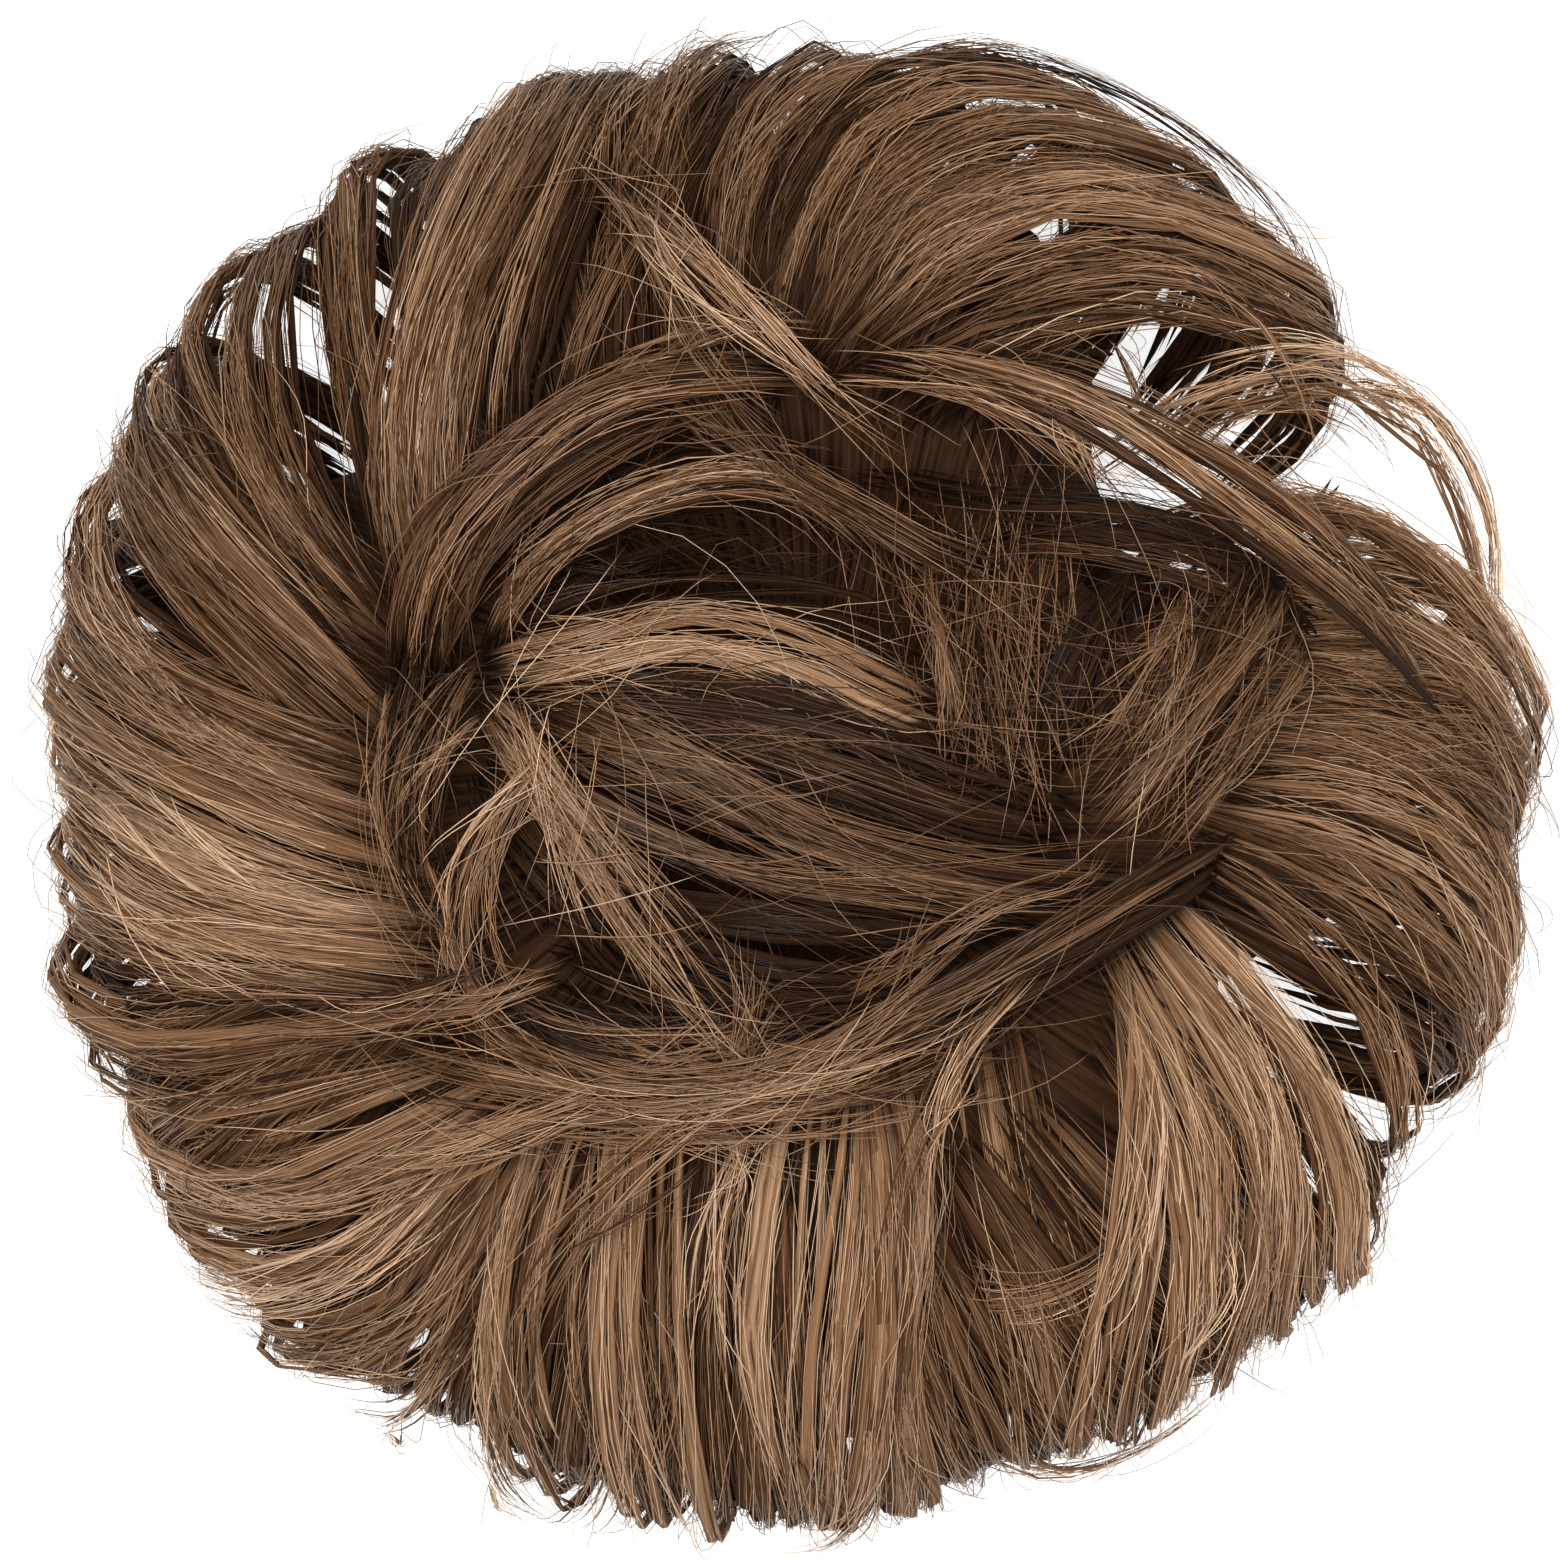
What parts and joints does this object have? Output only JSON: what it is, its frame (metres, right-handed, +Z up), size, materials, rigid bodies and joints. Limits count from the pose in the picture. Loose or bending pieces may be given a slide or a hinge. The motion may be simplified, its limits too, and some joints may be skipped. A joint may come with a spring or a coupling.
{
  "type": "top knot hairpiece",
  "caption": "Tousled bun of false hair, domed and wider than tall, with looped locks over the rim, a sewn ring and an elastic band underneath.",
  "frame": {"origin": "centre of the footprint, on the surface that the hairpiece lies on", "axes": "+Z up out of the bun's face, +X to the right and +Y to the top of the face as pictured"},
  "size_m": [0.1516, 0.1504, 0.0723],
  "materials": {
    "hair": "light brown synthetic fibre, softly glossy",
    "elastic": "braided cover, matte",
    "binding": "sewn weft, matte"
  },
  "bodies": {
    "root": {"hair": "hair", "weft_binding": "binding", "elastic_band": "elastic"}
  },
  "joints": []
}
